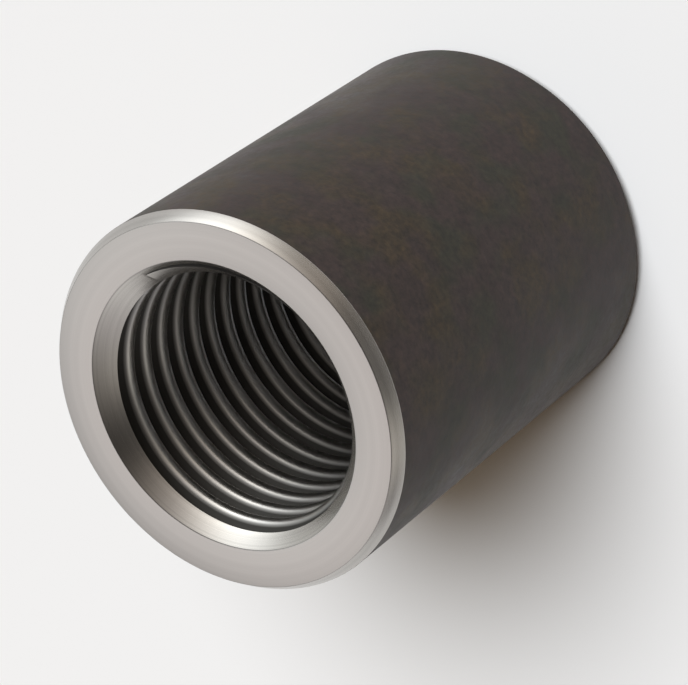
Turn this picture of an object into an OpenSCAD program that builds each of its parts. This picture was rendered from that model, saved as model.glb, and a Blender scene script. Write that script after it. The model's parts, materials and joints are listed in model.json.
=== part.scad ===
/* [Sleeve] */
// Length over both end faces, mm
sleeve_length = 60; // [40:1:120]
// Outside diameter, mm
sleeve_diameter = 49; // [44:0.5:60]

/* [End chamfer] */
// How far the outer chamfer runs along the sleeve, mm
chamfer_length = 1.55; // [0.5:0.05:3]
// How far the outer chamfer steps in on the end face, mm
chamfer_depth = 1; // [0.4:0.05:2]

/* [Thread] */
// Nominal (root) diameter of the internal thread, mm
thread_diameter = 36; // [34:0.5:38]
// Axial distance from one turn to the next, mm
thread_pitch = 3.5; // [2.5:0.25:4]
// Included angle between the two flanks, degrees
flank_angle = 60; // [50:1:65]
// Diameter of the drilled bore, which leaves the flat crests of the thread, mm
bore_diameter = 32.7; // [32:0.1:33]

/* [Mouth] */
// Diameter of the countersink on the end face, mm
mouth_diameter = 37.3; // [36:0.1:40]
// Included angle of the countersink, degrees
mouth_angle = 90; // [60:5:120]

/* [Hidden] */

outer_r = sleeve_diameter / 2;
bore_r = bore_diameter / 2;
mouth_r = mouth_diameter / 2;
mouth_depth = (mouth_r - bore_r) / tan(mouth_angle / 2);

// Groove of the thread: a flat root an eighth of the pitch wide, between two straight flanks.
root_r = thread_diameter / 2;
root_width = thread_pitch / 8;
// The cutter starts this far inside the bore, so that its flat facets never show there.
cutter_overlap = 0.5;
cutter_r = bore_r - cutter_overlap;
steps_per_turn = 36;

// Half the groove's width at a given radius
function groove_half_width(r) = root_width / 2 + (root_r - r) * tan(flank_angle / 2);

// Four corners of the groove's section at one angle on the right-hand helix
function groove_section(angle, z) =
    [for (corner = [[cutter_r, -1], [root_r, -1], [root_r, 1], [cutter_r, 1]])
        [corner[0] * cos(angle), corner[0] * sin(angle), z + corner[1] * groove_half_width(corner[0])]];

// Half the section of the sleeve wall, turned about the axis
module sleeve_body() {
    rotate_extrude($fn = 180)
        polygon([
            [bore_r, mouth_depth],
            [mouth_r, 0],
            [outer_r - chamfer_depth, 0],
            [outer_r, chamfer_length],
            [outer_r, sleeve_length - chamfer_length],
            [outer_r - chamfer_depth, sleeve_length],
            [mouth_r, sleeve_length],
            [bore_r, sleeve_length - mouth_depth]
        ]);
}

// One continuous helical groove that runs out past both ends
module thread_groove() {
    first = -steps_per_turn;
    last = ceil(steps_per_turn * (sleeve_length / thread_pitch + 1));
    sections = [for (i = [first:last])
        let (turns = i / steps_per_turn)
        groove_section(360 * turns, thread_pitch * turns)];
    count = len(sections);
    walls = [for (i = [0:count - 2], j = [0:3])
        let (a = 4 * i + j, b = 4 * i + (j + 1) % 4)
        each [[a, b, a + 4], [b, b + 4, a + 4]]];
    caps = [[3, 2, 1, 0], [for (j = [0:3]) 4 * (count - 1) + j]];
    polyhedron(points = [for (section = sections) each section], faces = concat(walls, caps), convexity = 20);
}

module coupler() {
    color("dimgray")
        difference() {
            sleeve_body();
            thread_groove();
        }
}

coupler();
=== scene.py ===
import json
from math import ceil, cos, hypot, log, pi, radians, sin, tan

import bmesh
import bpy
from mathutils import Matrix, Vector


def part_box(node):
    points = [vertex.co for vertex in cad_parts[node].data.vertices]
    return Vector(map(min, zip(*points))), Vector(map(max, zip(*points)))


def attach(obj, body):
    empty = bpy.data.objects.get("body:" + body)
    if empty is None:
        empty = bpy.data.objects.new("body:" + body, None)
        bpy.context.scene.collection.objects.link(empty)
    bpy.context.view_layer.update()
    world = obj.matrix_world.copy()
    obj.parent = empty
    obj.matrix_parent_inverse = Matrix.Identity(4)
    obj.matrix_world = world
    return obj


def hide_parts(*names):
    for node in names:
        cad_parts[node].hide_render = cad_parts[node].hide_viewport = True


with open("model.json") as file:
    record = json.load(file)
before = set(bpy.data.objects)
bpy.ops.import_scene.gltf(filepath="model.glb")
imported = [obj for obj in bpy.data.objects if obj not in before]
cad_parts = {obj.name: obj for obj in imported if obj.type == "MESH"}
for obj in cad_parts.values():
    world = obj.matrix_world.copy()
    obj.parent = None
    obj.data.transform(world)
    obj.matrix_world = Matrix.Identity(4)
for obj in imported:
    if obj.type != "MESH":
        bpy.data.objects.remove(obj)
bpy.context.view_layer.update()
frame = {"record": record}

low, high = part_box("coupler")
threadMount = next(m for m in frame["record"]["mounts"] if m["name"] == "thread_top")
mm = 0.001
boreRadius = threadMount["dims"]["r_mm"] * mm
outerRadius = high.x
mergeDistance = 0.0005 * mm    # points nearer than this are one


class Sock:
    # a shader socket that takes part in plain arithmetic

    def __init__(self, graph, out):
        self.graph = graph
        self.out = out

    def __add__(self, other):
        return self.graph.math("ADD", self, other)

    def __radd__(self, other):
        return self.graph.math("ADD", other, self)

    def __sub__(self, other):
        return self.graph.math("SUBTRACT", self, other)

    def __rsub__(self, other):
        return self.graph.math("SUBTRACT", other, self)

    def __mul__(self, other):
        return self.graph.math("MULTIPLY", self, other)

    def __rmul__(self, other):
        return self.graph.math("MULTIPLY", other, self)

    def __pow__(self, other):
        return self.graph.math("POWER", self, other)

    def __rpow__(self, other):
        return self.graph.math("POWER", other, self)


class Graph:
    # the node tree of one material, or of the world

    def __init__(self, owner):
        owner.use_nodes = True
        self.tree = owner.node_tree
        self.tree.nodes.clear()

    def node(self, kind, settings=None, sockets=None, output=0):
        made = self.tree.nodes.new(kind)
        for name, value in (settings or {}).items():
            setattr(made, name, value)
        for name, value in (sockets or {}).items():
            if isinstance(value, Sock):
                self.tree.links.new(value.out, made.inputs[name])
            else:
                made.inputs[name].default_value = value
        return Sock(self, made.outputs[output]) if made.outputs else made

    def math(self, operation, *values):
        return self.node("ShaderNodeMath", {"operation": operation}, dict(enumerate(values)))

    def objectPoint(self):
        return self.node("ShaderNodeTexCoord", output="Object")

    def parts(self, vector):
        split = self.node("ShaderNodeSeparateXYZ", sockets={0: vector}).out.node
        return [Sock(self, out) for out in split.outputs]

    def mix(self, share, first, second):
        settings = {"data_type": "RGBA"}
        return self.node("ShaderNodeMix", settings, {"Factor": share, "A": first, "B": second}, "Result")

    def clouds(self, point, pattern):
        # a pattern that has a W of its own doesn't follow the others
        settings = {"noise_dimensions": "4D" if "W" in pattern else "3D"}
        return self.node("ShaderNodeTexNoise", settings, {"Vector": point, **pattern}, "Fac")

    def rings(self, place, pattern):
        # changes along one direction only
        return self.node("ShaderNodeTexNoise", {"noise_dimensions": "1D"}, {"W": place, **pattern}, "Fac")

    def contrast(self, value, gain):
        # stretches a noise about its middle and keeps it between 0 and 1
        return self.node("ShaderNodeClamp", sockets={"Value": (value - 0.5) * gain + 0.5})

    def shaded(self, colour, shade):
        return self.node("ShaderNodeVectorMath", {"operation": "SCALE"}, {0: colour, "Scale": shade})

    def bump(self, height, look):
        sockets = {"Height": height, "Strength": look["bumpStrength"], "Distance": look["bumpDepth"]}
        return self.node("ShaderNodeBump", sockets=sockets)


print("camera")

cameraView = {
    "lensMm": 177.09,
    "azimuth": 280.0,      # degrees, of the camera's place round the sleeve
    "elevation": 48.94,    # degrees above the floor
    "roll": -126.18,       # degrees, turns the picture until the sleeve leans as it should
    "distance": 421.08 * mm,
    "right": -1.406 * mm,  # sideways and upward shift in the picture's own plane
    "up": -3.948 * mm,
}


def makeCamera(view):
    data = bpy.data.cameras.new("camera")
    data.lens = view["lensMm"]
    data.sensor_width = 36.0
    data.clip_start = 0.01
    camera = bpy.data.objects.new("camera", data)
    bpy.context.scene.collection.objects.link(camera)
    turn = Matrix.Rotation(radians(view["azimuth"] + 90), 4, "Z")
    tip = Matrix.Rotation(radians(90 - view["elevation"]), 4, "X")
    roll = Matrix.Rotation(radians(view["roll"]), 4, "Z")
    back = Matrix.Translation((view["right"], view["up"], view["distance"]))
    centre = Matrix.Translation((low + high) / 2)
    camera.matrix_world = centre @ turn @ tip @ roll @ back
    bpy.context.scene.camera = camera


makeCamera(cameraView)


print("materials")


def newMaterial(name):
    material = bpy.data.materials.new(name)
    return material, Graph(material)


def finishShader(graph, sockets):
    shader = graph.node("ShaderNodeBsdfPrincipled", sockets=sockets)
    graph.node("ShaderNodeOutputMaterial", sockets={"Surface": shader})


def radiusAndHeight(graph):
    x, y, z = graph.parts(graph.objectPoint())
    return (x * x + y * y) ** 0.5, z


# a pattern's Scale is how often it changes in a metre
scale = {
    "brown": (0.035, 0.0235, 0.0125, 1),
    "grey": (0.022, 0.0205, 0.0142, 1),
    "purple": (0.029, 0.0185, 0.0180, 1),
    "cloud": {"Scale": 110.0, "Detail": 3.0, "Roughness": 0.6},
    "patch": {"Scale": 170.0, "Detail": 2.0, "W": 3.0},
    "grain": {"Scale": 1300.0, "Detail": 3.0, "Roughness": 0.7},
    "pits": {"Scale": 600.0, "Detail": 1.0, "W": 7.0},
    "contrast": 6.0,        # of the clouds and patches
    "purpleShare": 0.8,
    "cloudShade": 1.0,      # how much each pattern lightens and darkens the colour
    "grainShade": 2.2,
    "pitShade": 0.8,
    "roughness": 0.52,
    "roughnessChange": 0.3,
    "specular": 0.26,
    "edgeSpecular": 0.0,    # the lower chamfer doesn't shine
    "bumpStrength": 0.4,
    "bumpDepth": 0.05 * mm,
}


def makeScale(name, look, specular):
    # dark hot-rolled skin: faint clouds of brown, grey and purple, and a fine mottle over them
    material, graph = newMaterial(name)
    point = graph.objectPoint()
    cloud = graph.clouds(point, look["cloud"])
    patch = graph.clouds(point, look["patch"])
    grain = graph.clouds(point, look["grain"])
    pits = graph.clouds(point, look["pits"])
    warm = graph.mix(graph.contrast(cloud, look["contrast"]), look["brown"], look["grey"])
    tone = graph.mix(graph.contrast(patch, look["contrast"]) * look["purpleShare"], warm, look["purple"])
    mottle = 1.0 + (grain - 0.5) * look["grainShade"] + (pits - 0.5) * look["pitShade"]
    change = look["roughnessChange"]
    finishShader(graph, {
        "Base Color": graph.shaded(tone, mottle + (cloud - 0.5) * look["cloudShade"]),
        "Roughness": look["roughness"] + (grain - 0.5) * change + (cloud - 0.5) * change,
        "Specular IOR Level": specular,
        "Normal": graph.bump(grain + pits, look),
    })
    return material


turned = {
    "face": {"colour": (0.56, 0.535, 0.515), "roughness": 0.36, "anisotropy": 0.4, "bandShade": 0.1},
    # the chamfer's steel is set darker than the face's as painted shade
    "chamfer": {"colour": (0.46, 0.445, 0.425), "roughness": 0.24, "anisotropy": 0.5, "bandShade": 0.7},
    "mouth": {"colour": (0.60, 0.58, 0.55), "roughness": 0.2, "anisotropy": 0.5, "bandShade": 0.3},
    "lines": {"Scale": 5000.0, "Detail": 2.0},
    "bands": {"Scale": 1500.0, "Detail": 2.0},
    "lineShade": 0.1,
    "roughnessChange": 0.12,
    "bumpStrength": 0.12,
    "bumpDepth": 0.02 * mm,
}


def makeTurned(name, look, place):
    # bare steel with fine tool marks round the axis
    material, graph = newMaterial(name)
    radius, height = radiusAndHeight(graph)
    along = radius + height
    lines = graph.rings(along, look["lines"])
    bands = graph.rings(along, look["bands"])
    shade = 1.0 + (lines - 0.5) * look["lineShade"] + (bands - 0.5) * place["bandShade"]
    finishShader(graph, {
        "Base Color": graph.shaded(place["colour"], shade),
        "Metallic": 1.0,
        "Roughness": place["roughness"] + (lines - 0.5) * look["roughnessChange"],
        "Anisotropic": place["anisotropy"],
        "Anisotropic Rotation": 0.25,
        "Normal": graph.bump(lines, look),
    })
    return material


thread = {
    "crestColour": (0.74, 0.73, 0.71, 1),
    # the groove's colour is painted shade, far darker than the steel itself
    "grooveShadeColour": (0.07, 0.068, 0.064, 1),
    "crestRoughness": 0.3,
    "rootRoughness": 0.42,
    "crestDepth": 0.15 * mm,    # how far out from the bore the crest's finish reaches
    "rootDepth": 0.75 * mm,     # and where the groove's finish begins, with its painted shade
    "lines": {"Scale": 6000.0, "Detail": 2.0},
    "roughnessChange": 0.1,
    "bumpStrength": 0.05,
    "bumpDepth": 0.01 * mm,
}


def makeThreadSteel(look):
    # bright on the crests; down in the groove the colour is painted shade, near black, and rougher
    material, graph = newMaterial("cutThread")
    radius, height = radiusAndHeight(graph)
    lines = graph.rings(radius + height, look["lines"])
    depth = graph.node("ShaderNodeMapRange", sockets={
        "Value": radius,
        "From Min": boreRadius + look["crestDepth"],
        "From Max": boreRadius + look["rootDepth"],
    })
    rough = look["crestRoughness"] + depth * (look["rootRoughness"] - look["crestRoughness"])
    finishShader(graph, {
        # towards the root the colour blends into the groove's painted shade
        "Base Color": graph.mix(depth, look["crestColour"], look["grooveShadeColour"]),
        "Metallic": 1.0,
        "Roughness": rough + (lines - 0.5) * look["roughnessChange"],
        "Normal": graph.bump(lines, look),
    })
    return material


# slots on the sleeve, in the order of its finishes
sideSlot, faceSlot, chamferSlot, mouthSlot, threadSlot, dullSlot = range(6)


def makeFinishes():
    return [
        makeScale("darkScale", scale, scale["specular"]),
        makeTurned("turnedFace", turned, turned["face"]),
        makeTurned("turnedChamfer", turned, turned["chamfer"]),
        makeTurned("turnedMouth", turned, turned["mouth"]),
        makeThreadSteel(thread),
        makeScale("dullScale", scale, scale["edgeSpecular"]),
    ]


print("sleeve")

sleeve = {
    "chamferLength": 1.55 * mm,
    "chamferDepth": 1.0 * mm,
    "mouthRadius": 18.65 * mm,
    "mouthAngle": radians(90),  # across the countersink's cone
    "rootRadius": 18.0 * mm,
    "pitch": 3.5 * mm,
    "flankAngle": radians(60),  # between the two flanks of a groove
    "edgeOffset": 0.1 * mm,     # how far the turned edges are eased
    "crestOffset": 0.57 * mm,   # how far the crest corners are eased
    "rootOffset": 0.1 * mm,     # how far the root corners are eased
    "drillInset": 2 * mm,       # how much less than the bore's the drilled hole's radius is
    "tapOverrun": 1 * mm,       # how far the tap reaches past each end
    "spareTurns": 3,            # turns past each end, before the tap is trimmed
    "bodySteps": 256,           # faces in one turn
    "threadSteps": 160,
    "sharpAngle": radians(28),  # edges that bend further than this stay sharp
}


def chain(bm, points, closed):
    verts = [bm.verts.new((radius, 0, z)) for radius, z in points]
    for first, second in zip(verts, verts[1:]):
        bm.edges.new((first, second))
    if closed:
        bm.edges.new((verts[-1], verts[0]))
    return verts


def easeCorners(bm, verts, offset, segments):
    bmesh.ops.bevel(bm, geom=verts, offset=offset, offset_type="OFFSET", segments=segments, profile=0.5,
                    affect="VERTICES", material=-1)


def spinRound(bm, steps, rise=0.0, merge=True):
    bmesh.ops.spin(bm, geom=bm.verts[:] + bm.edges[:], cent=(0, 0, 0), axis=(0, 0, 1),
                   dvec=(0, 0, rise / steps), angle=2 * pi, steps=steps, use_merge=merge)
    bmesh.ops.remove_doubles(bm, verts=bm.verts, dist=mergeDistance)


def finishMesh(bm, name, materials):
    bmesh.ops.remove_doubles(bm, verts=bm.verts, dist=mergeDistance)
    bmesh.ops.recalc_face_normals(bm, faces=bm.faces)
    mesh = bpy.data.meshes.new(name)
    bm.to_mesh(mesh)
    bm.free()
    for material in materials:
        mesh.materials.append(material)
    obj = bpy.data.objects.new(name, mesh)
    bpy.context.scene.collection.objects.link(obj)
    return obj


def slotOf(face, size):
    middle = face.calc_center_median()
    radius = hypot(middle.x, middle.y)
    if radius < size["mouthRadius"] - size["edgeOffset"]:
        return mouthSlot
    # an end face is square to the axis, give or take its eased rim
    if abs(face.normal.z) > 0.97:
        return faceSlot
    if middle.z > high.z - size["chamferLength"]:
        return chamferSlot
    # the scale runs on over the lower end's chamfer
    return dullSlot if middle.z < low.z + size["chamferLength"] else sideSlot


def makeBlank(size, finishes):
    # the turned sleeve before it is tapped, drilled small, so that the tap cuts all of the bore
    drilled = boreRadius - size["drillInset"]
    mouthDepth = (size["mouthRadius"] - drilled) / tan(size["mouthAngle"] / 2)
    faceRadius = outerRadius - size["chamferDepth"]
    bm = bmesh.new()
    outline = chain(bm, [
        (drilled, low.z + mouthDepth),
        (size["mouthRadius"], low.z),
        (faceRadius, low.z),
        (outerRadius, low.z + size["chamferLength"]),
        (outerRadius, high.z - size["chamferLength"]),
        (faceRadius, high.z),
        (size["mouthRadius"], high.z),
        (drilled, high.z - mouthDepth),
    ], closed=True)
    easeCorners(bm, outline[1:-1], size["edgeOffset"], 3)
    spinRound(bm, size["bodySteps"])
    bmesh.ops.recalc_face_normals(bm, faces=bm.faces)
    for face in bm.faces:
        face.material_index = slotOf(face, size)
    return finishMesh(bm, "blank", finishes)


def makeTap(size, finishes):
    # the shape that the thread is cut with: one helical ridge round a core as thick as the bore
    rootHalf = size["pitch"] / 16    # a standard root is an eighth of the pitch wide
    boreHalf = rootHalf + (size["rootRadius"] - boreRadius) * tan(size["flankAngle"] / 2)
    turns = ceil((high.z - low.z) / size["pitch"])
    bm = bmesh.new()
    points = []
    for turn in range(-size["spareTurns"], turns + size["spareTurns"]):
        middle = low.z + turn * size["pitch"]
        points += [
            (boreRadius, middle - boreHalf),
            (size["rootRadius"], middle - rootHalf),
            (size["rootRadius"], middle + rootHalf),
            (boreRadius, middle + boreHalf),
        ]
    verts = chain(bm, points, closed=False)
    crests = [v for i, v in enumerate(verts) if i % 4 in (0, 3) and 0 < i < len(verts) - 1]
    roots = [v for i, v in enumerate(verts) if i % 4 in (1, 2)]
    easeCorners(bm, crests, size["crestOffset"], 4)
    easeCorners(bm, roots, size["rootOffset"], 2)
    spinRound(bm, size["threadSteps"], rise=size["pitch"], merge=False)
    for z, side in ((low.z - size["tapOverrun"], -1), (high.z + size["tapOverrun"], 1)):
        geom = bm.verts[:] + bm.edges[:] + bm.faces[:]
        bmesh.ops.bisect_plane(bm, geom=geom, plane_co=(0, 0, z), plane_no=(0, 0, side), clear_outer=True)
    bmesh.ops.holes_fill(bm, edges=[e for e in bm.edges if e.is_boundary], sides=0)
    for face in bm.faces:
        face.material_index = threadSlot
    return finishMesh(bm, "tap", finishes)


def cutThread(blank, tap):
    cut = blank.modifiers.new("tap", "BOOLEAN")
    cut.operation = "DIFFERENCE"
    cut.solver = "EXACT"
    cut.material_mode = "INDEX"
    cut.object = tap
    evaluated = blank.evaluated_get(bpy.context.evaluated_depsgraph_get())
    mesh = bpy.data.meshes.new_from_object(evaluated)
    bpy.data.objects.remove(tap)
    bpy.data.objects.remove(blank)
    obj = bpy.data.objects.new("sleeve", mesh)
    bpy.context.scene.collection.objects.link(obj)
    return obj


def tidyFaces(obj, sharpAngle):
    bm = bmesh.new()
    bm.from_mesh(obj.data)
    bmesh.ops.remove_doubles(bm, verts=bm.verts, dist=mergeDistance)
    bmesh.ops.dissolve_degenerate(bm, edges=bm.edges, dist=mergeDistance)
    bmesh.ops.triangulate(bm, faces=[f for f in bm.faces if len(f.verts) > 4])
    for face in bm.faces:
        face.smooth = True
    openEdges = [e for e in bm.edges if not e.is_manifold]
    print("faces", len(bm.faces), "open edges", len(openEdges))
    bm.to_mesh(obj.data)
    bm.free()
    obj.data.set_sharp_from_angle(angle=sharpAngle)


finishes = makeFinishes()
coupler = cutThread(makeBlank(sleeve, finishes), makeTap(sleeve, finishes))
tidyFaces(coupler, sleeve["sharpAngle"])
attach(coupler, "root")
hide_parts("coupler")


print("studio")

# soft patches of light all round: azimuth of the middle, counted from the camera's, and elevation
# (both in degrees), brightness, where 1 is white, and tint
patches = {
    "keyLow": (80, 4, 1.25, (0.90, 0.95, 1.0)),
    "keyLeft": (68, 16, 1.20, (1.0, 0.94, 0.84)),
    "keyRight": (100, 10, 0.60, (1.0, 1.0, 0.97)),
    "keyHigh": (88, 27, 1.00, (0.94, 0.98, 1.0)),
    "keyTop": (55, 33, 0.56, (1.0, 0.93, 0.89)),
    "front": (23, 41, 0.20, (1.0, 0.88, 0.78)),
    "frontLow": (22, 14, 0.38, (1.0, 0.88, 0.76)),
    "frontRight": (340, 14, 0.22, (1.0, 0.94, 0.88)),
    "backLow": (140, 4, 0.30, (1.0, 1.0, 0.97)),
    "backLeft": (160, 43, 0.58, (0.92, 0.99, 1.0)),
    "back": (186, 58, 1.06, (1.0, 0.93, 0.91)),
    "backSide": (135, 26, 0.45, (1.0, 1.0, 0.98)),
    "backRight": (221, 28, 0.50, (1.0, 0.99, 0.98)),
    "rightFar": (230, 4, 0.50, (1.0, 0.98, 0.97)),
    "rightMiddle": (258, 21, 0.38, (1.0, 0.95, 0.95)),
    "rightNear": (292, 12, 0.66, (1.0, 0.95, 0.87)),
    "rightHigh": (298, 44, 0.10, (1.0, 0.90, 0.82)),
}
studio = {
    "patchSpread": 18,    # degrees from a patch's middle to where it is half as bright
    "mattShare": (0.31, 0.24, 0.17),   # how much of the patches the matt surfaces get, beside the sun
    "horizon": (0.88, 0.88, 0.88, 1),  # what the camera sees past the floor
    "floorColour": (0.86, 0.86, 0.86, 1),
    "floorReach": 3.0,    # metres from the middle to each side
    "sunAzimuth": 38,     # degrees, counted from the camera's azimuth
    "sunElevation": 56,
    "sunSpread": 36,      # degrees across, for a soft shadow
    "sunStrength": 3.33,
    "sunColour": (0.97, 1.0, 1.03),
}


def makeFloor(look):
    material, graph = newMaterial("floor")
    matt = graph.node("ShaderNodeBsdfDiffuse", sockets={"Color": look["floorColour"]})
    graph.node("ShaderNodeOutputMaterial", sockets={"Surface": matt})
    bm = bmesh.new()
    bmesh.ops.create_grid(bm, x_segments=1, y_segments=1, size=look["floorReach"])
    finishMesh(bm, "floor", [material])


def toward(azimuth, elevation):
    level = cos(radians(elevation))
    return level * cos(radians(azimuth)), level * sin(radians(azimuth)), sin(radians(elevation))


def makeSun(look):
    # casts the soft shadow; the patches alone show in the metal
    data = bpy.data.lights.new("sun", "SUN")
    data.energy = look["sunStrength"]
    data.angle = radians(look["sunSpread"])
    data.color = look["sunColour"]
    sun = bpy.data.objects.new("sun", data)
    sun.visible_glossy = False
    lean = radians(90 - look["sunElevation"])
    turn = radians(cameraView["azimuth"] + look["sunAzimuth"])
    sun.rotation_euler = (0, lean, turn)
    bpy.context.scene.collection.objects.link(sun)


def makeWorld(look):
    world = bpy.data.worlds.new("studio")
    graph = Graph(world)
    direction = graph.node("ShaderNodeTexCoord", output="Generated")
    falloff = log(2) / (1 - cos(radians(look["patchSpread"])))
    dot = {"operation": "DOT_PRODUCT"}
    light = (0.0, 0.0, 0.0)
    for azimuth, elevation, brightness, tint in patches.values():
        aim = toward(cameraView["azimuth"] + azimuth, elevation)
        facing = graph.node("ShaderNodeVectorMath", dot, {0: direction, 1: aim}, "Value")
        glow = graph.math("EXPONENT", (facing - 1) * falloff) * brightness
        patch = graph.shaded(tint, glow)
        light = graph.node("ShaderNodeVectorMath", {"operation": "ADD"}, {0: patch, 1: light})
    matt = graph.node("ShaderNodeLightPath", output="Is Diffuse Ray")
    soft = graph.node("ShaderNodeVectorMath", {"operation": "MULTIPLY"}, {0: light, 1: look["mattShare"]})
    light = graph.mix(matt, light, soft)
    seen = graph.node("ShaderNodeLightPath", output="Is Camera Ray")
    through = graph.node("ShaderNodeLightPath", output="Is Transmission Ray")
    colour = graph.mix(seen + through, light, look["horizon"])
    shine = graph.node("ShaderNodeBackground", sockets={"Color": colour})
    graph.node("ShaderNodeOutputWorld", sockets={"Surface": shine})
    bpy.context.scene.world = world


makeFloor(studio)
makeSun(studio)
makeWorld(studio)
bpy.context.scene.view_settings.view_transform = "Standard"
